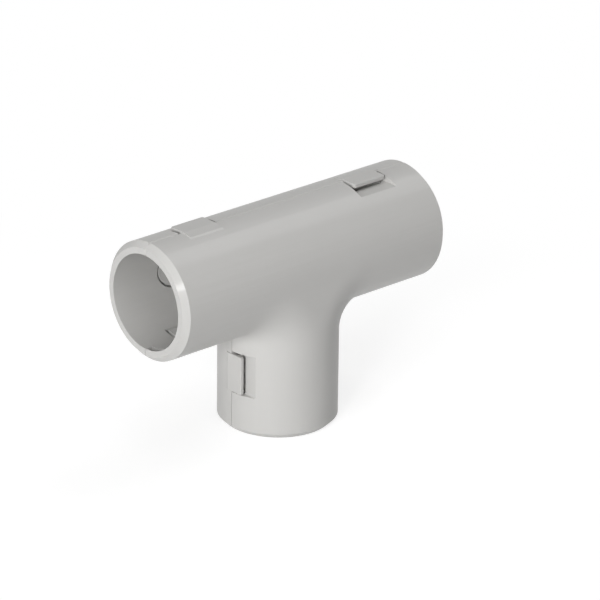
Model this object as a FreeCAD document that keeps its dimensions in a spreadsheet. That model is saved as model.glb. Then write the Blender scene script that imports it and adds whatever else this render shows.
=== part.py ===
import FreeCAD, Part
import os

import Sketcher
from FreeCAD import Placement, Rotation, Vector

# Openable conduit tee: two identical moulded halves that snap together over the conduits.
# Frame in millimetres: origin at the centre of the branch mouth, X along the run,
# Z up the branch, Y across the parting plane. The front half lies at negative Y,
# and the rear half is the same moulding turned half a turn about Z.

DRIVING_SIZES = [
    ("conduit_diameter", 20.0, "outside diameter of the conduits that plug in"),
    ("socket_play", 0.1, "how much wider a socket is than its conduit"),
    ("wall", 2.45, "wall of the run and of the branch"),
    ("run_length", 70.4, "run from mouth to mouth"),
    ("branch_reach", 34.9, "from the branch mouth to the run's axis"),
    ("socket_depth", 20.0, "how far a conduit goes in before it meets the stop"),
    ("stop_height", 1.3, "step of the stop inside the bore"),
    ("bend_radius", 15.0, "bend, on its centre line, by which the run turns into the branch"),
    ("mouth_chamfer", 1.15, "chamfer of the outer edge at each mouth"),
    ("seam_width", 0.065, "half of the fine groove that shows along the parting line"),
    ("seam_depth", 0.35, "depth of that groove"),
    ("top_bevel", 0.25, "bevel of the parting edges along the top of the run and on its rims"),
    ("run_tab_setback", 9.3, "from a mouth of the run to the near end of its tab"),
    ("run_tab_length", 8.4, "run tab along its arm"),
    ("run_tab_reach", 3.4, "how far a run tab reaches across the parting plane"),
    ("run_tab_thickness", 0.85, "free part of a run tab"),
    ("run_tab_flat", 0.6, "how far the flat of a run tab runs back from the parting plane"),
    ("run_tab_shoulder", 2.7, "how far back a run tab's swelling has its shoulder"),
    ("run_tab_root", 3.2, "how far back a run tab's swelling dies out"),
    ("run_recess_depth", 1.6, "floor of a run tab's recess below the crown"),
    ("run_near_gap", 0.7, "between a run tab and the end of its recess nearer the mouth"),
    ("run_far_gap", 0.65, "between a run tab and the other end of its recess"),
    ("branch_tab_setback", 9.0, "from the branch mouth to the near end of its tab"),
    ("branch_tab_length", 8.35, "branch tab along its arm"),
    ("branch_tab_reach", 3.1, "how far a branch tab reaches across the parting plane"),
    ("branch_tab_thickness", 0.7, "free part of a branch tab"),
    ("branch_tab_flat", 1.05, "how far the flat of a branch tab runs back from the parting plane"),
    ("branch_tab_shoulder", 1.4, "how far back a branch tab's swelling has its shoulder"),
    ("branch_tab_root", 1.9, "how far back a branch tab's swelling dies out"),
    ("branch_recess_depth", 1.4, "floor of a branch tab's recess below the crown"),
    ("branch_near_gap", 0.22, "between a branch tab and the end of its recess nearer the mouth"),
    ("branch_far_gap", 0.55, "between a branch tab and the other end of its recess"),
    ("tab_rise", 0.22, "how far a tab stands above the crown of its arm"),
    ("tab_swell", 0.12, "height of a tab's swelling above the arm at its shoulder"),
    ("tab_corner", 0.45, "rounding of a tab's free corners"),
    ("tab_edge", 0.12, "bevel of the outer edge of a tab's tip"),
    ("slot_depth", 0.45, "how much lower a recess lies under its tab than in front of it"),
    ("slot_setback", 0.5, "from a tab's tip back to the end of that lower part"),
    ("slot_side_gap", 0.12, "between the hook and each end of that lower part"),
    ("hook_setback", 0.9, "from a tab's tip to the ramp of its hook"),
    ("hook_ramp", 0.45, "ramp of the hook, and of the catch that it rides over"),
    ("hook_land", 0.4, "blunt crest of the hook and of the catch"),
    ("hook_floor_gap", 0.25, "from the hook's crest to the floor under it"),
    ("catch_play", 0.12, "between the hook's face and the catch's face"),
    ("catch_top_gap", 0.45, "from the catch's crest to the tab above it"),
    ("catch_inset", 0.5, "how much shorter the catch is than its tab, at each end"),
    ("tongue_thickness", 1.0, "locating tongue, from the bore outward"),
    ("tongue_play", 0.3, "under a tongue, in its rebate"),
    ("tongue_side_gap", 0.2, "beside a tongue, on the tee's side"),
    ("tongue_end_gap", 0.45, "past a tongue's tip, in its rebate"),
    ("outer_tongue_setback", 1.7, "from a mouth to the outer tongue"),
    ("outer_tongue_length", 5.8, "outer tongue along the arm"),
    ("outer_tongue_reach", 4.5, "how far the outer tongue crosses the parting plane"),
    ("outer_tongue_gap", 1.3, "beside the outer tongue, on the mouth's side"),
    ("inner_tongue_setback", 8.6, "from a mouth to the inner tongue"),
    ("inner_tongue_length", 9.4, "inner tongue along the arm"),
    ("inner_tongue_reach", 3.2, "how far the inner tongue crosses the parting plane"),
    ("inner_tongue_gap", 0.65, "beside the inner tongue, on the mouth's side"),
    ("mark_setback", 15.15, "from a mouth to the centre of the ejector mark in its wall"),
    ("mark_radius", 3.6, "middle of the ejector mark's round groove"),
    ("mark_width", 0.4, "width of that groove"),
    ("mark_depth", 0.5, "depth of that groove where the bore is deepest"),
]

# Margin by which a cutter runs past the material, or a pad is rooted in it.
MARGIN = 1.0

# Two lengths closer than this are the same.
TOUCH = 1e-6

# Share of the bore's radius at which the sections of tongues and rebates close, inside the bore.
CLOSED_AT = 0.8

# Sizes that follow from the driving ones, as expressions on the sheet.
SOCKET_RADIUS = "(sizes.conduit_diameter + sizes.socket_play) / 2"
PASSAGE_RADIUS = f"({SOCKET_RADIUS} - sizes.stop_height)"
OUTER_RADIUS = f"({SOCKET_RADIUS} + sizes.wall)"
HALF_RUN = "(sizes.run_length / 2)"


class Snap:
    """Expressions of one kind of snap fit, for the tabs of the run or those of the branch.

    Places along the arm are distances from its mouth, heights are above the arm's crown.
    """

    def __init__(self, arm):
        self.start = f"sizes.{arm}_tab_setback"
        self.length = f"sizes.{arm}_tab_length"
        self.end = f"({self.start} + {self.length})"
        self.reach = f"sizes.{arm}_tab_reach"
        self.thickness = f"sizes.{arm}_tab_thickness"
        self.flat = f"sizes.{arm}_tab_flat"
        self.shoulder = f"sizes.{arm}_tab_shoulder"
        self.root = f"sizes.{arm}_tab_root"
        self.underside = f"(sizes.tab_rise - {self.thickness})"
        self.recess_start = f"({self.start} - sizes.{arm}_near_gap)"
        self.recess_end = f"({self.end} + sizes.{arm}_far_gap)"
        self.recess_floor = f"(-sizes.{arm}_recess_depth)"
        self.slot_floor = f"({self.recess_floor} - sizes.slot_depth)"
        self.hook_face = f"({self.reach} - sizes.hook_setback - sizes.hook_ramp - sizes.hook_land)"


RUN_SNAP = Snap("run")
BRANCH_SNAP = Snap("branch")


def make_sheet(doc):
    """Sheet of driving sizes, one named cell in each row."""
    sheet = doc.addObject("Spreadsheet::Sheet", "sizes")
    for row, (name, value, meaning) in enumerate(DRIVING_SIZES, start=1):
        sheet.set(f"A{row}", name)
        sheet.set(f"B{row}", str(value))
        sheet.set(f"C{row}", meaning)
        sheet.setAlias(f"B{row}", name)
    doc.recompute()


def number(obj, expression):
    """Present value of an expression on the sheet."""
    return float(obj.evalExpression(expression))


# Sketches: each corner, centre and radius is held by a named constraint on the sheet

def new_sketch(body, name, plane, offset="0", sideways="0"):
    """Empty sketch on an origin plane, moved along its normal and sideways along its first axis."""
    sketch = body.newObject("Sketcher::SketchObject", name)
    support = next(item for item in body.Origin.OriginFeatures if item.Role == plane)
    sketch.AttachmentSupport = [(support, "")]
    sketch.MapMode = "FlatFace"
    sketch.setExpression("AttachmentOffset.Base.x", sideways)
    sketch.setExpression("AttachmentOffset.Base.z", offset)
    return sketch


def hold(sketch, kind, targets, name, expression):
    """Dimension bound to the sheet."""
    value = number(sketch, expression)
    index = sketch.addConstraint(Sketcher.Constraint(kind, *targets, value))
    sketch.renameConstraint(index, name)
    sketch.setExpression(f"Constraints.{name}", expression)


def hold_point(sketch, edge, end, name, across, up):
    """Vertex of an edge held at its two distances from the sketch's origin."""
    hold(sketch, "DistanceX", (-1, 1, edge, end), f"{name}_across", across)
    hold(sketch, "DistanceY", (-1, 1, edge, end), f"{name}_up", up)


def draw_circle(sketch, name, centre, radius):
    """Circle from expressions for its centre and radius."""
    middle = Vector(number(sketch, centre[0]), number(sketch, centre[1]), 0)
    circle = Part.Circle(middle, Vector(0, 0, 1), number(sketch, radius))
    edge = sketch.addGeometry(circle, False)
    hold_point(sketch, edge, 3, f"{name}_centre", *centre)
    hold(sketch, "Radius", (edge,), f"{name}_radius", radius)


def draw_outline(sketch, name, corners):
    """Closed outline of straight edges through corners, each a pair of expressions."""
    points = [Vector(number(sketch, across), number(sketch, up), 0) for across, up in corners]
    ends = points[1:] + points[:1]
    edges = [sketch.addGeometry(Part.LineSegment(*pair), False) for pair in zip(points, ends)]
    for edge, following in zip(edges, edges[1:] + edges[:1]):
        sketch.addConstraint(Sketcher.Constraint("Coincident", edge, 2, following, 1))
    for count, (edge, corner) in enumerate(zip(edges, corners), start=1):
        hold_point(sketch, edge, 1, f"{name}_{count}", *corner)


def box_corners(left, right, low, high):
    """Corners of a rectangle from expressions for its sides."""
    return [(left, low), (right, low), (right, high), (left, high)]


def draw_arched(sketch, name, points, centre, radius):
    """Closed outline of three straight edges and one arc.

    The points run from the arc's start over its middle and end to the two far corners.
    """
    start, middle, end, near, far = points
    arc = sketch.addGeometry(Part.Arc(start, middle, end), False)
    lines = [sketch.addGeometry(Part.LineSegment(*pair), False)
             for pair in ((end, near), (near, far), (far, start))]
    chain = [arc] + lines
    for edge, following in zip(chain, lines + [arc]):
        sketch.addConstraint(Sketcher.Constraint("Coincident", edge, 2, following, 1))
    hold_point(sketch, arc, 3, f"{name}_centre", *centre)
    hold(sketch, "Radius", (arc,), f"{name}_radius", radius)
    return arc, lines


# Features

def settle(body, feature, adds):
    """Recompute, and stop if the feature failed or moved no material the way it should."""
    before = feature.BaseFeature.Shape.Volume if feature.BaseFeature else 0.0
    body.Document.recompute()
    change = feature.Shape.Volume - before
    if (change > 0) != adds or abs(change) < 1e-3:
        raise RuntimeError(f"{feature.Name} changed the volume by {change:.4f}")


def pad(body, name, sketch, length, symmetric=False):
    """Material added along the sketch's normal."""
    feature = body.newObject("PartDesign::Pad", name)
    feature.Profile = sketch
    feature.setExpression("Length", length)
    feature.SideType = "Symmetric" if symmetric else "One side"
    settle(body, feature, adds=True)


def pocket(body, name, sketch, length, symmetric=False, forward=False):
    """Material cut away against the sketch's normal, or along it when forward."""
    feature = body.newObject("PartDesign::Pocket", name)
    feature.Profile = sketch
    feature.setExpression("Length", length)
    feature.SideType = "Symmetric" if symmetric else "One side"
    feature.Reversed = forward
    settle(body, feature, adds=False)


def dress(body, kind, name, picked, dimension, size):
    """Fillet or chamfer on the edges of the body's present shape that picked accepts."""
    base = body.Tip
    edges = [f"Edge{count}" for count, edge in enumerate(base.Shape.Edges, start=1) if picked(edge)]
    feature = body.newObject(f"PartDesign::{kind}", name)
    feature.Base = (base, edges)
    feature.setExpression(dimension, size)
    settle(body, feature, adds=False)


# Outer form of the whole tee, before it is split: a run, a branch and the two bends between them

def add_web(body):
    """Block in the crook of the tee, hollowed at each side to the inside of a bend.

    Its front and rear faces touch the two cylinders, so it fills the flat place between them.
    """
    sketch = new_sketch(body, "web_outline", "XZ_Plane")
    low = "sizes.branch_reach - sizes.bend_radius"
    corners = box_corners("-sizes.bend_radius", "sizes.bend_radius", low, "sizes.branch_reach")
    draw_outline(sketch, "web", corners)
    pad(body, "web", sketch, f"2 * {OUTER_RADIUS}", symmetric=True)
    cut_bend(body, "left", "-")
    cut_bend(body, "right", "")


def cut_bend(body, name, sign):
    """Turns the branch's section about the centre of a bend, which cuts the web to its inside."""
    other = "" if sign else "-"
    low = "sizes.branch_reach - sizes.bend_radius"
    sketch = new_sketch(body, f"{name}_bend_section", "XY_Plane", low, f"{sign}sizes.bend_radius")
    bend = number(sketch, f"{other}sizes.bend_radius")
    radius = number(sketch, OUTER_RADIUS)
    nearest = bend - radius if bend > 0 else bend + radius
    start, middle, end = Vector(bend, -radius, 0), Vector(nearest, 0, 0), Vector(bend, radius, 0)
    points = (start, middle, end, Vector(0, radius, 0), Vector(0, -radius, 0))
    centre = (f"{other}sizes.bend_radius", "0")
    arc, lines = draw_arched(sketch, "section", points, centre, OUTER_RADIUS)
    sketch.addConstraint(Sketcher.Constraint("Vertical", arc, 1, arc, 3))
    sketch.addConstraint(Sketcher.Constraint("Vertical", arc, 2, arc, 3))
    sketch.addConstraint(Sketcher.Constraint("Horizontal", lines[0]))
    sketch.addConstraint(Sketcher.Constraint("Horizontal", lines[2]))
    sketch.addConstraint(Sketcher.Constraint("PointOnObject", lines[1], 1, -2))
    sketch.addConstraint(Sketcher.Constraint("PointOnObject", lines[1], 2, -2))
    feature = body.newObject("PartDesign::Groove", f"{name}_bend")
    feature.Profile = sketch
    feature.ReferenceAxis = (sketch, ["V_Axis"])
    feature.Angle = 360
    settle(body, feature, adds=False)


def add_run(body):
    sketch = new_sketch(body, "run_section", "YZ_Plane")
    draw_circle(sketch, "run", ("0", "sizes.branch_reach"), OUTER_RADIUS)
    pad(body, "run", sketch, "sizes.run_length", symmetric=True)


def add_branch(body):
    sketch = new_sketch(body, "branch_section", "XY_Plane")
    draw_circle(sketch, "branch", ("0", "0"), OUTER_RADIUS)
    pad(body, "branch", sketch, "sizes.branch_reach")


def chamfer_mouths(body):
    half_run = number(body, HALF_RUN)

    def on_mouth(edge):
        box = edge.BoundBox
        at_run_end = box.XLength < TOUCH and abs(abs(box.XMin) - half_run) < TOUCH
        at_branch_end = box.ZLength < TOUCH and abs(box.ZMin) < TOUCH
        return at_run_end or at_branch_end

    dress(body, "Chamfer", "mouth_chamfers", on_mouth, "Size", "sizes.mouth_chamfer")


def split_at_parting_plane(body):
    """Removes everything behind the parting plane, which leaves the front half."""
    sketch = new_sketch(body, "rear_region", "XZ_Plane")
    side = f"({HALF_RUN} + {MARGIN})"
    top = f"sizes.branch_reach + {OUTER_RADIUS} + {MARGIN}"
    draw_outline(sketch, "rear", box_corners(f"-{side}", side, f"-{MARGIN}", top))
    pocket(body, "rear_cut", sketch, f"{OUTER_RADIUS} + {MARGIN}")


def add_seam_groove(body):
    """Thin step round the rim of the parting face, so that the closed seam reads as a line.

    At each crook of the tee its inner outline is the chord that stays seam_depth inside the bend.
    """
    sketch = new_sketch(body, "seam_region", "XZ_Plane")
    side = f"({HALF_RUN} + {MARGIN})"
    top = f"sizes.branch_reach + {OUTER_RADIUS} + {MARGIN}"
    draw_outline(sketch, "outside", box_corners(f"-{side}", side, f"-{MARGIN}", top))
    end = f"({HALF_RUN} - sizes.seam_depth)"
    flank = f"({OUTER_RADIUS} - sizes.seam_depth)"
    crown = f"sizes.branch_reach + {flank}"
    belly = f"sizes.branch_reach - {flank}"
    chord = f"((2 - sqrt(2)) * (sizes.bend_radius - {flank}))"
    draw_outline(sketch, "kept", [
        (f"-{flank}", "sizes.seam_depth"),
        (flank, "sizes.seam_depth"),
        (flank, f"{belly} - {chord}"),
        (f"{flank} + {chord}", belly),
        (end, belly),
        (end, crown),
        (f"-{end}", crown),
        (f"-{end}", belly),
        (f"-({flank} + {chord})", belly),
        (f"-{flank}", f"{belly} - {chord}"),
    ])
    pocket(body, "seam_groove", sketch, "sizes.seam_width", forward=True)


def bevel_crown(body):
    """Bevels the parting edge along the top of the run, above the floor of the seam's groove."""
    sketch = new_sketch(body, "crown_bevel_section", "YZ_Plane")
    crown = f"sizes.branch_reach + {OUTER_RADIUS}"
    over = f"{crown} + {MARGIN}"
    draw_outline(sketch, "bevel", [
        ("-sizes.seam_width", f"{crown} - sizes.top_bevel"),
        ("-sizes.seam_width", over),
        (f"-(sizes.seam_width + sizes.top_bevel + {MARGIN})", over),
    ])
    pocket(body, "crown_bevel", sketch, "sizes.run_length", symmetric=True)


def bevel_rims(body):
    """Bevels the parting edge on the upper part of the face at each mouth of the run."""
    sketch = new_sketch(body, "rim_bevel_section", "XY_Plane", f"sizes.branch_reach + {SOCKET_RADIUS}")
    for name, sign in (("left", "-"), ("right", "")):
        inside = f"{sign}({HALF_RUN} - sizes.top_bevel)"
        outside = f"{sign}({HALF_RUN} + {MARGIN})"
        draw_outline(sketch, name, [
            (inside, "-sizes.seam_width"),
            (outside, "-sizes.seam_width"),
            (outside, f"-(sizes.seam_width + sizes.top_bevel + {MARGIN})"),
        ])
    pocket(body, "rim_bevels", sketch, f"sizes.wall + {MARGIN}", forward=True)


# Snap fits: the left run tab and the right branch tab belong to this half,
# the right run recess and the left branch recess take the other half's tabs.
# A point of a snap's section is given by its reach across the parting plane
# towards the other half, and its height above the crown of the arm.

def run_point(reach, height, tab):
    """Point of a run snap's section, on the plane across the run."""
    across = reach if tab else f"-({reach})"
    return across, f"sizes.branch_reach + {OUTER_RADIUS} + {height}"


def branch_point(reach, height, tab):
    """Point of a branch snap's section, on the plane across the branch."""
    out = f"{OUTER_RADIUS} + {height}"
    return (out, reach) if tab else (f"-({out})", f"-({reach})")


def above_arm(back, height):
    """Height above the crown of a point that lies height above the arm's round side."""
    return f"(sqrt(({OUTER_RADIUS} + {height})^2 - {back}^2) - {OUTER_RADIUS})"


def tab_section(place, snap):
    """Flat tab with a hook under its tip, whose swelling dies out on its own arm."""
    crest = f"({snap.slot_floor} + sizes.hook_floor_gap)"
    rooted = "(-0.5 * sizes.wall)"
    buried = f"(-0.5 * {snap.flat})"
    corners = [
        (snap.reach, snap.underside),
        (snap.reach, "sizes.tab_rise"),
        (f"-{snap.flat}", "sizes.tab_rise"),
        (f"-{snap.shoulder}", above_arm(snap.shoulder, "sizes.tab_swell")),
        (f"-{snap.root}", above_arm(snap.root, "0")),
        (f"-{snap.root}", rooted),
        (buried, rooted),
        (buried, snap.underside),
        (snap.hook_face, snap.underside),
        (snap.hook_face, crest),
        (f"{snap.hook_face} + sizes.hook_land", crest),
        (f"{snap.reach} - sizes.hook_setback", snap.underside),
    ]
    return [place(reach, height, tab=True) for reach, height in corners]


def catch_section(place, snap):
    """Ridge in a recess, with a ramp that the hook rides over as the halves close."""
    face = f"({snap.hook_face} - sizes.catch_play)"
    crest = f"({snap.underside} - sizes.catch_top_gap)"
    foot = snap.slot_floor
    rooted = f"(0.5 * {foot} - 0.5 * sizes.wall)"
    land = f"({face} - sizes.hook_land)"
    ramp = f"({land} - sizes.hook_ramp)"
    corners = [(face, rooted), (face, crest), (land, crest), (ramp, foot), (ramp, rooted)]
    return [place(reach, height, tab=False) for reach, height in corners]


def run_window(start, end, floor, above):
    """Side view of a recess in the right arm of the run."""
    crown = f"sizes.branch_reach + {OUTER_RADIUS}"
    low, high = f"{crown} + {floor}", f"{crown} + {above}"
    return box_corners(f"{HALF_RUN} - {end}", f"{HALF_RUN} - {start}", low, high)


def branch_window(start, end, floor, above):
    """Side view of a recess in the left side of the branch."""
    return box_corners(f"-({OUTER_RADIUS} + {above})", f"-({OUTER_RADIUS} + {floor})", start, end)


def cut_recess(body, name, place, snap):
    """Flat-floored recess, open at the parting plane, with a slot under the other half's tab."""
    slot_start = f"({snap.start} - sizes.slot_side_gap)"
    slot_end = f"({snap.end} + sizes.slot_side_gap)"
    windows = [
        ("recess", snap.recess_start, snap.recess_end, snap.recess_floor, OUTER_RADIUS),
        ("slot", slot_start, slot_end, snap.slot_floor, f"{snap.reach} - sizes.slot_setback"),
    ]
    for part, start, end, floor, reach in windows:
        sketch = new_sketch(body, f"{name}_{part}_window", "XZ_Plane")
        draw_outline(sketch, "window", place(start, end, floor, f"(sizes.tab_rise + {MARGIN})"))
        pocket(body, f"{name}_{part}", sketch, reach, forward=True)


def cut_recesses(body):
    cut_recess(body, "run", run_window, RUN_SNAP)
    cut_recess(body, "branch", branch_window, BRANCH_SNAP)


def add_catches(body):
    start = f"{HALF_RUN} - {RUN_SNAP.end} + sizes.catch_inset"
    sketch = new_sketch(body, "run_catch_section", "YZ_Plane", start)
    draw_outline(sketch, "catch", catch_section(run_point, RUN_SNAP))
    pad(body, "run_catch", sketch, f"{RUN_SNAP.length} - 2 * sizes.catch_inset")

    start = f"{BRANCH_SNAP.start} + sizes.catch_inset"
    sketch = new_sketch(body, "branch_catch_section", "XY_Plane", start)
    draw_outline(sketch, "catch", catch_section(branch_point, BRANCH_SNAP))
    pad(body, "branch_catch", sketch, f"{BRANCH_SNAP.length} - 2 * sizes.catch_inset")


def add_tabs(body):
    sketch = new_sketch(body, "run_tab_section", "YZ_Plane", f"{RUN_SNAP.start} - {HALF_RUN}")
    draw_outline(sketch, "tab", tab_section(run_point, RUN_SNAP))
    pad(body, "run_tab", sketch, RUN_SNAP.length)

    sketch = new_sketch(body, "branch_tab_section", "XY_Plane", BRANCH_SNAP.start)
    draw_outline(sketch, "tab", tab_section(branch_point, BRANCH_SNAP))
    pad(body, "branch_tab", sketch, BRANCH_SNAP.length)


# Locating tongues at the run's lower seam, which lie against the bore

def draw_sector(sketch, name, radius, left, right):
    """Lower part of a disc about the run's axis between two uprights, closed inside the bore."""
    size = number(sketch, radius)
    axis = number(sketch, "sizes.branch_reach")
    low_left, low_right = [
        Vector(across, axis - (size * size - across * across) ** 0.5, 0)
        for across in (number(sketch, left), number(sketch, right))
    ]
    top = f"sizes.branch_reach - {CLOSED_AT} * {SOCKET_RADIUS}"
    high_left, high_right = [Vector(low.x, number(sketch, top), 0) for low in (low_left, low_right)]
    points = (low_left, Vector(0, axis - size, 0), low_right, high_right, high_left)
    _, lines = draw_arched(sketch, name, points, ("0", "sizes.branch_reach"), radius)
    hold_point(sketch, lines[1], 1, f"{name}_right", right, top)
    hold_point(sketch, lines[1], 2, f"{name}_left", left, top)
    sketch.addConstraint(Sketcher.Constraint("Vertical", lines[0]))
    sketch.addConstraint(Sketcher.Constraint("Vertical", lines[2]))


def add_tongue(body, name, start, length, reach):
    """Tongue that crosses the parting plane by reach, over a stretch of the run."""
    sketch = new_sketch(body, f"{name}_section", "YZ_Plane", start)
    draw_sector(sketch, "tongue", f"{SOCKET_RADIUS} + sizes.tongue_thickness", f"-{MARGIN}", reach)
    pad(body, name, sketch, length)


def cut_rebate(body, name, start, length, reach):
    """Room for the other half's tongue, with play under it and past its tip."""
    sketch = new_sketch(body, f"{name}_section", "YZ_Plane", start)
    outer = f"{SOCKET_RADIUS} + sizes.tongue_thickness + sizes.tongue_play"
    draw_sector(sketch, "rebate", outer, f"-({reach} + sizes.tongue_end_gap)", f"{MARGIN}")
    pocket(body, name, sketch, length, forward=True)


def add_tongues(body):
    """Outer tongue at the right mouth and inner one at the left."""
    end = "(sizes.outer_tongue_setback + sizes.outer_tongue_length)"
    add_tongue(body, "outer_tongue", f"{HALF_RUN} - {end}", "sizes.outer_tongue_length",
               "sizes.outer_tongue_reach")
    add_tongue(body, "inner_tongue", f"sizes.inner_tongue_setback - {HALF_RUN}",
               "sizes.inner_tongue_length", "sizes.inner_tongue_reach")


def cut_rebates(body):
    """Rebates for the other half's outer tongue, at the left mouth, and inner one, at the right."""
    start = f"sizes.outer_tongue_setback - sizes.outer_tongue_gap - {HALF_RUN}"
    length = "sizes.outer_tongue_gap + sizes.outer_tongue_length + sizes.tongue_side_gap"
    cut_rebate(body, "outer_rebate", start, length, "sizes.outer_tongue_reach")

    end = "(sizes.inner_tongue_setback + sizes.inner_tongue_length + sizes.tongue_side_gap)"
    length = "sizes.inner_tongue_gap + sizes.inner_tongue_length + sizes.tongue_side_gap"
    cut_rebate(body, "inner_rebate", f"{HALF_RUN} - {end}", length, "sizes.inner_tongue_reach")


# Bore

def cut_sockets(body):
    sketch = new_sketch(body, "passage_section", "YZ_Plane")
    draw_circle(sketch, "passage", ("0", "sizes.branch_reach"), PASSAGE_RADIUS)
    pocket(body, "run_passage", sketch, f"sizes.run_length + {MARGIN}", symmetric=True)
    for name, start, forward in (("left", f"-{HALF_RUN}", True), ("right", HALF_RUN, False)):
        sketch = new_sketch(body, f"{name}_socket_section", "YZ_Plane", start)
        draw_circle(sketch, "socket", ("0", "sizes.branch_reach"), SOCKET_RADIUS)
        pocket(body, f"{name}_socket", sketch, "sizes.socket_depth", forward=forward)
    sketch = new_sketch(body, "branch_passage_section", "XY_Plane")
    draw_circle(sketch, "passage", ("0", "0"), PASSAGE_RADIUS)
    pocket(body, "branch_passage", sketch, "sizes.branch_reach", forward=True)
    sketch = new_sketch(body, "branch_socket_section", "XY_Plane")
    draw_circle(sketch, "socket", ("0", "0"), SOCKET_RADIUS)
    pocket(body, "branch_socket", sketch, "sizes.socket_depth", forward=True)


def cut_ejector_marks(body):
    """Round groove in the bore beside each end of the run, left by an ejector."""
    sketch = new_sketch(body, "ejector_marks", "XZ_Plane")
    place = f"({HALF_RUN} - sizes.mark_setback)"
    for name, across in (("left", f"-{place}"), ("right", place)):
        centre = (across, "sizes.branch_reach")
        draw_circle(sketch, f"{name}_outer", centre, "sizes.mark_radius + 0.5 * sizes.mark_width")
        draw_circle(sketch, f"{name}_inner", centre, "sizes.mark_radius - 0.5 * sizes.mark_width")
    pocket(body, "marks", sketch, f"{SOCKET_RADIUS} + sizes.mark_depth", forward=True)


# Edges

def round_tabs(body):
    """Rounds the corners of each tab's tip as seen from outside, then bevels its outer edge."""
    reaches = [number(body, snap.reach) for snap in (RUN_SNAP, BRANCH_SNAP)]
    thicknesses = [number(body, snap.thickness) for snap in (RUN_SNAP, BRANCH_SNAP)]
    crown = number(body, f"sizes.branch_reach + {OUTER_RADIUS} + sizes.tab_rise")
    flank = number(body, f"{OUTER_RADIUS} + sizes.tab_rise")

    def on_tip(edge):
        return any(abs(edge.BoundBox.YMax - reach) < TOUCH for reach in reaches)

    def on_corner(edge):
        box = edge.BoundBox
        length = max(box.XLength, box.ZLength)
        return on_tip(edge) and any(abs(length - thickness) < TOUCH for thickness in thicknesses)

    def on_outer_edge(edge):
        box = edge.BoundBox
        return on_tip(edge) and (box.ZMin > crown - TOUCH or box.XMin > flank - TOUCH)

    dress(body, "Fillet", "tab_corners", on_corner, "Radius", "sizes.tab_corner")
    dress(body, "Chamfer", "tab_edges", on_outer_edge, "Size", "sizes.tab_edge")


def make_half(doc, label):
    """One moulded half, in the front half's place."""
    body = doc.addObject("PartDesign::Body", label)
    body.Label = label
    add_web(body)
    add_run(body)
    add_branch(body)
    chamfer_mouths(body)
    split_at_parting_plane(body)
    add_seam_groove(body)
    bevel_crown(body)
    bevel_rims(body)
    cut_recesses(body)
    add_catches(body)
    add_tabs(body)
    add_tongues(body)
    cut_rebates(body)
    cut_sockets(body)
    cut_ejector_marks(body)
    round_tabs(body)
    return body


def check(doc, bodies):
    """Stops if any object failed or a half isn't one valid solid."""
    for obj in doc.Objects:
        if "Invalid" in obj.State or "Error" in obj.State:
            raise RuntimeError(f"{obj.Name} failed: {obj.State}")
    for body in bodies:
        shape = body.Shape
        if shape.isNull() or not shape.isValid() or len(shape.Solids) != 1:
            raise RuntimeError(f"{body.Label} isn't one valid solid")


def main():
    doc = FreeCAD.newDocument("conduit_tee")
    make_sheet(doc)
    front = make_half(doc, "front_shell")
    rear = make_half(doc, "rear_shell")
    rear.Placement = Placement(Vector(0, 0, 0), Rotation(Vector(0, 0, 1), 180))
    doc.recompute()
    check(doc, [front, rear])
    os.makedirs("parts", exist_ok=True)
    for body in (front, rear):
        body.Shape.exportStep(f"parts/{body.Label}.step")


main()
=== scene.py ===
import math

import bpy
from mathutils import Matrix, Vector


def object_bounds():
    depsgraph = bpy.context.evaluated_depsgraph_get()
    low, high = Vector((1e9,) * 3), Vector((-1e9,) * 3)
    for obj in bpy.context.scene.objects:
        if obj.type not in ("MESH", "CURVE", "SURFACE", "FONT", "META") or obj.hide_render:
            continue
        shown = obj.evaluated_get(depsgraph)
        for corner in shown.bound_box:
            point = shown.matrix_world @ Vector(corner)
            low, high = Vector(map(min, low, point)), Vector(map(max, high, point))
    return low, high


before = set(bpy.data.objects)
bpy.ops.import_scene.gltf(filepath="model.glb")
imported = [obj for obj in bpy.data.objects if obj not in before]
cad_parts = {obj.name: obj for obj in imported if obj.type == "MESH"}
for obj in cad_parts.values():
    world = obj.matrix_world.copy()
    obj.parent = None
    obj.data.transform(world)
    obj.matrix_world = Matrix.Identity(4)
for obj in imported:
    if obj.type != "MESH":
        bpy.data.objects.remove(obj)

# Looks of the openable conduit tee: two satin PVC mouldings on a white floor.
# Metres, in the part's own frame: X along the run, Z up the branch, origin at the branch mouth.

CAD_LOW, CAD_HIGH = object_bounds()
MM = 0.001

# Camera: its direction, distance and lens are those of the photograph
AZIMUTH = math.radians(41.582)
ELEVATION = math.radians(22.691)
ROLL = math.radians(0.587)
DISTANCE = 833.02 * MM
SENSOR_MM = 36.0
LENS_MM = 245.77
CLIP_NEAR, CLIP_FAR = 0.01, 20.0
RUN_AXIS = Vector((0.0, 0.0, 34.9 * MM))
# Point at the frame's centre, to the right of and above the run's axis as the camera sees it
AIM_RIGHT = 4.297 * MM
AIM_UP = -8.456 * MM

# Lamps: compass angle from -Y towards +X, elevation, side and power of each softbox
LIT_POINT = Vector((0.0, 0.0, 0.03))
LAMP_DISTANCE = 0.80
SOFTBOXES = [
    ("left_low", -73.0, 6.0, 0.20, 2.64),
    ("key", -57.0, 22.0, 0.12, 1.72),
    ("left_high", -51.0, 50.0, 0.45, 0.75),
    ("front_high", -25.0, 65.0, 0.45, 0.90),
    ("right_high", 87.0, 57.0, 0.38, 1.30),
    ("back_high", 120.0, 60.0, 0.45, 0.40),
    ("overhead", 0.0, 90.0, 0.45, 0.52),
]

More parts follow.
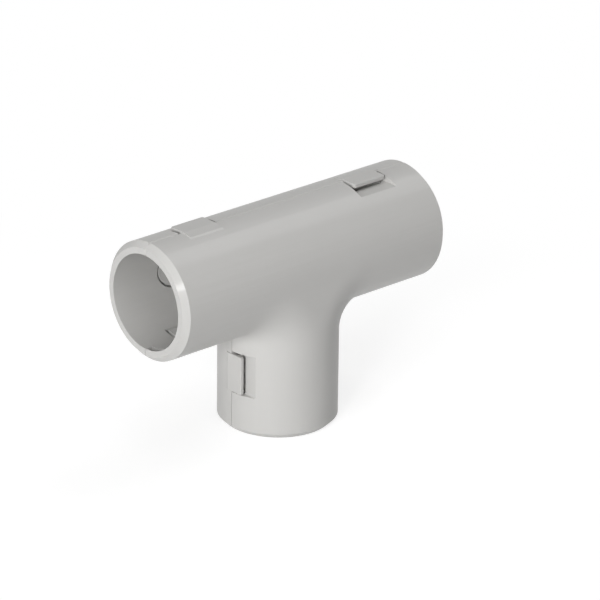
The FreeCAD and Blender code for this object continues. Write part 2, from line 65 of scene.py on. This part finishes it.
# Floor: where it is seen, it is white of its own, but for a share that the lamps light near the
# tee. That share takes the shadow, and fades out between two distances from the branch.
FLOOR_DROP = 0.05 * MM
FLOOR_HALF = 3.0
FLOOR_CORNERS = ((-1, -1), (1, -1), (1, 1), (-1, 1))
FLOOR_COLOUR = (0.90, 0.90, 0.90, 1.0)
SHADOW_SHARE = 0.20
LIT_PER_ALBEDO = 0.55
WHITE_FROM, WHITE_AT = 0.055, 0.125

# Plastic: noise scales are per metre
GREY = (0.600, 0.594, 0.579)
GREY_SPREAD = 0.025
CLOUDS = {"Scale": 70.0, "Detail": 4.0, "Roughness": 0.55}
GRAIN = {"Scale": 5200.0, "Detail": 2.0, "Roughness": 0.6}
GRAIN_BUMP = {"Strength": 0.12, "Distance": 0.02 * MM}
LINES = {"Scale": 1100.0, "Detail": 2.0, "Roughness": 0.5}
LINE_BUMP = {"Strength": 1.0, "Distance": 0.040 * MM}
LINES_SHARE = 0.45
LINES_ON_RUN = (0.02, 1.0, 1.0)
LINES_ON_BRANCH = (1.0, 1.0, 0.02)
LINES_TURN_FROM, LINES_TURN_AT = 19.0 * MM, 23.0 * MM
ROUGHNESS_LOW, ROUGHNESS_HIGH = 0.56, 0.64
# The body has less gloss than PVC's own index of 1.54 gives, and a thin shine lies over it
SKIN = {"IOR": 1.27, "Coat Weight": 0.28, "Coat Roughness": 0.17}


def add_camera():
    """Camera at the photograph's place, turned to the point that the frame's centre shows."""
    forward = Vector((
        math.sin(AZIMUTH) * math.cos(ELEVATION),
        math.cos(AZIMUTH) * math.cos(ELEVATION),
        -math.sin(ELEVATION),
    ))
    level_right = Vector((math.cos(AZIMUTH), -math.sin(AZIMUTH), 0.0))
    level_up = level_right.cross(forward)
    right = level_right * math.cos(ROLL) + level_up * math.sin(ROLL)
    up = level_up * math.cos(ROLL) - level_right * math.sin(ROLL)
    place = RUN_AXIS - forward * DISTANCE
    back = (place - RUN_AXIS - right * AIM_RIGHT - up * AIM_UP).normalized()
    side = (right - back * right.dot(back)).normalized()

    data = bpy.data.cameras.new("camera")
    data.sensor_width = SENSOR_MM
    data.lens = LENS_MM
    data.clip_start = CLIP_NEAR
    data.clip_end = CLIP_FAR
    camera = bpy.data.objects.new("camera", data)
    camera.matrix_world = Matrix((side, back.cross(side), back)).transposed().to_4x4()
    camera.location = place
    bpy.context.scene.collection.objects.link(camera)
    bpy.context.scene.camera = camera


def add_softbox(name, compass, elevation, side, power):
    """Square lamp in the given direction from the tee, turned to it."""
    turn = math.radians(compass)
    rise = math.radians(elevation)
    level = math.cos(rise)
    away = Vector((math.sin(turn) * level, -math.cos(turn) * level, math.sin(rise)))
    data = bpy.data.lights.new(name, "AREA")
    data.shape = "SQUARE"
    data.size = side
    data.energy = power
    lamp = bpy.data.objects.new(name, data)
    lamp.location = LIT_POINT + away * LAMP_DISTANCE
    lamp.rotation_mode = "QUATERNION"
    lamp.rotation_quaternion = away.to_track_quat("Z", "Y")
    bpy.context.scene.collection.objects.link(lamp)


def set_inputs(made, values):
    """Set inputs of a shader node by their names, and give the node back."""
    for name, value in values.items():
        made.inputs[name].default_value = value
    return made


def node(tree, kind, values):
    """New shader node with some of its inputs set."""
    return set_inputs(tree.nodes.new(kind), values)


def map_range(tree, values):
    """Node that maps one range of values to another, as far as its inputs are set."""
    return node(tree, "ShaderNodeMapRange", values)


def mix_shaders(tree, share, first, second):
    """Mix of two shader nodes, the second by a share that another node gives."""
    mix = tree.nodes.new("ShaderNodeMixShader")
    tree.links.new(share, mix.inputs[0])
    tree.links.new(first.outputs[0], mix.inputs[1])
    tree.links.new(second.outputs[0], mix.inputs[2])
    return mix


def mix_values(tree, share, first, second):
    """Mix of two values, the second by a share that is a number or another node's."""
    mix = tree.nodes.new("ShaderNodeMix")
    if isinstance(share, float):
        mix.inputs["Factor"].default_value = share
    else:
        tree.links.new(share, mix.inputs["Factor"])
    tree.links.new(first, mix.inputs["A"])
    tree.links.new(second, mix.inputs["B"])
    return mix.outputs["Result"]


def seen_rays(tree):
    """Socket that is 1 on camera, glossy and transmission rays, and 0 on the rest."""
    path = tree.nodes.new("ShaderNodeLightPath")
    total = path.outputs["Is Camera Ray"]
    for name in ("Is Glossy Ray", "Is Transmission Ray"):
        larger = tree.nodes.new("ShaderNodeMath")
        larger.operation = "MAXIMUM"
        tree.links.new(total, larger.inputs[0])
        tree.links.new(path.outputs[name], larger.inputs[1])
        total = larger.outputs[0]
    return total


def add_world():
    """World that is white where it is seen, also in gloss, and lights nothing else."""
    world = bpy.data.worlds.new("studio")
    bpy.context.scene.world = world
    world.use_nodes = True
    tree = world.node_tree
    tree.nodes.clear()
    white = node(tree, "ShaderNodeBackground", {"Color": (1.0, 1.0, 1.0, 1.0)})
    out = tree.nodes.new("ShaderNodeOutputWorld")
    tree.links.new(seen_rays(tree), white.inputs["Strength"])
    tree.links.new(white.outputs[0], out.inputs["Surface"])


def floor_material():
    """Pale floor that is seen white, with the tee's soft shadow near it."""
    material = bpy.data.materials.new("floor")
    material.use_nodes = True
    tree = material.node_tree
    tree.nodes.clear()
    albedo = SHADOW_SHARE / LIT_PER_ALBEDO
    pale = node(tree, "ShaderNodeBsdfDiffuse", {"Color": FLOOR_COLOUR})
    lit_share = node(tree, "ShaderNodeBsdfDiffuse", {"Color": (albedo, albedo, albedo, 1.0)})
    own_share = node(tree, "ShaderNodeEmission", {"Strength": 1.0 - SHADOW_SHARE})
    white = node(tree, "ShaderNodeEmission", {"Strength": 1.0})
    near = tree.nodes.new("ShaderNodeAddShader")
    place = tree.nodes.new("ShaderNodeTexCoord")
    distance = tree.nodes.new("ShaderNodeVectorMath")
    distance.operation = "LENGTH"
    fade = map_range(tree, {"From Min": WHITE_FROM, "From Max": WHITE_AT})
    fade.interpolation_type = "SMOOTHSTEP"
    out = tree.nodes.new("ShaderNodeOutputMaterial")

    tree.links.new(place.outputs["Object"], distance.inputs[0])
    tree.links.new(distance.outputs["Value"], fade.inputs["Value"])
    tree.links.new(own_share.outputs[0], near.inputs[0])
    tree.links.new(lit_share.outputs[0], near.inputs[1])
    seen = mix_shaders(tree, fade.outputs["Result"], near, white)
    surface = mix_shaders(tree, seen_rays(tree), pale, seen)
    tree.links.new(surface.outputs[0], out.inputs["Surface"])
    return material


def add_floor():
    """Floor just under the branch mouth, far wider than the frame."""
    mesh = bpy.data.meshes.new("floor")
    corners = [(x * FLOOR_HALF, y * FLOOR_HALF, 0.0) for x, y in FLOOR_CORNERS]
    mesh.from_pydata(corners, [], [(0, 1, 2, 3)])
    mesh.materials.append(floor_material())
    floor = bpy.data.objects.new("floor", mesh)
    floor.location = (0.0, 0.0, CAD_LOW.z - FLOOR_DROP)
    bpy.context.scene.collection.objects.link(floor)


def shade(share):
    """The plastic's grey, made darker or lighter by a share."""
    return tuple(channel * share for channel in GREY) + (1.0,)


def drawn_lines(tree, place, squeeze):
    """Noise drawn out along one arm, like the marks that the polishing of a mould leaves."""
    drawn = node(tree, "ShaderNodeMapping", {"Scale": squeeze})
    lines = node(tree, "ShaderNodeTexNoise", LINES)
    tree.links.new(place, drawn.inputs["Vector"])
    tree.links.new(drawn.outputs["Vector"], lines.inputs["Vector"])
    return lines.outputs["Fac"]


def arm_lines(tree, place):
    """Drawn lines along the branch up to the bends, and along the run above them."""
    split = tree.nodes.new("ShaderNodeSeparateXYZ")
    above = map_range(tree, {"From Min": LINES_TURN_FROM, "From Max": LINES_TURN_AT})
    tree.links.new(place, split.inputs["Vector"])
    tree.links.new(split.outputs["Z"], above.inputs["Value"])
    on_branch = drawn_lines(tree, place, LINES_ON_BRANCH)
    on_run = drawn_lines(tree, place, LINES_ON_RUN)
    return mix_values(tree, above.outputs["Result"], on_branch, on_run)


def pvc_material():
    """Light grey PVC with a satin skin: faint clouds, drawn lines, fine grain, uneven gloss."""
    material = bpy.data.materials.new("satin_pvc")
    material.use_nodes = True
    tree = material.node_tree
    shader = set_inputs(tree.nodes["Principled BSDF"], SKIN)
    place = tree.nodes.new("ShaderNodeTexCoord").outputs["Object"]
    clouds = node(tree, "ShaderNodeTexNoise", CLOUDS)
    lines = arm_lines(tree, place)
    unevenness = mix_values(tree, LINES_SHARE, clouds.outputs["Fac"], lines)
    colour = tree.nodes.new("ShaderNodeMix")
    colour.data_type = "RGBA"
    set_inputs(colour, {"A": shade(1.0 - GREY_SPREAD), "B": shade(1.0 + GREY_SPREAD)})
    gloss = map_range(tree, {"To Min": ROUGHNESS_LOW, "To Max": ROUGHNESS_HIGH})
    grain = node(tree, "ShaderNodeTexNoise", GRAIN)
    line_bump = node(tree, "ShaderNodeBump", LINE_BUMP)
    grain_bump = node(tree, "ShaderNodeBump", GRAIN_BUMP)

    tree.links.new(place, clouds.inputs["Vector"])
    tree.links.new(place, grain.inputs["Vector"])
    tree.links.new(unevenness, colour.inputs["Factor"])
    tree.links.new(unevenness, gloss.inputs["Value"])
    tree.links.new(lines, line_bump.inputs["Height"])
    tree.links.new(line_bump.outputs["Normal"], grain_bump.inputs["Normal"])
    tree.links.new(grain.outputs["Fac"], grain_bump.inputs["Height"])
    tree.links.new(colour.outputs["Result"], shader.inputs["Base Color"])
    tree.links.new(gloss.outputs["Result"], shader.inputs["Roughness"])
    tree.links.new(grain_bump.outputs["Normal"], shader.inputs["Normal"])
    return material


def dress_shells():
    """Give both halves the same plastic."""
    plastic = pvc_material()
    for name in ("front_shell", "rear_shell"):
        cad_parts[name].material_slots[0].material = plastic


bpy.context.scene.view_settings.view_transform = "Standard"
add_camera()
add_world()
for softbox in SOFTBOXES:
    add_softbox(*softbox)
add_floor()
dress_shells()
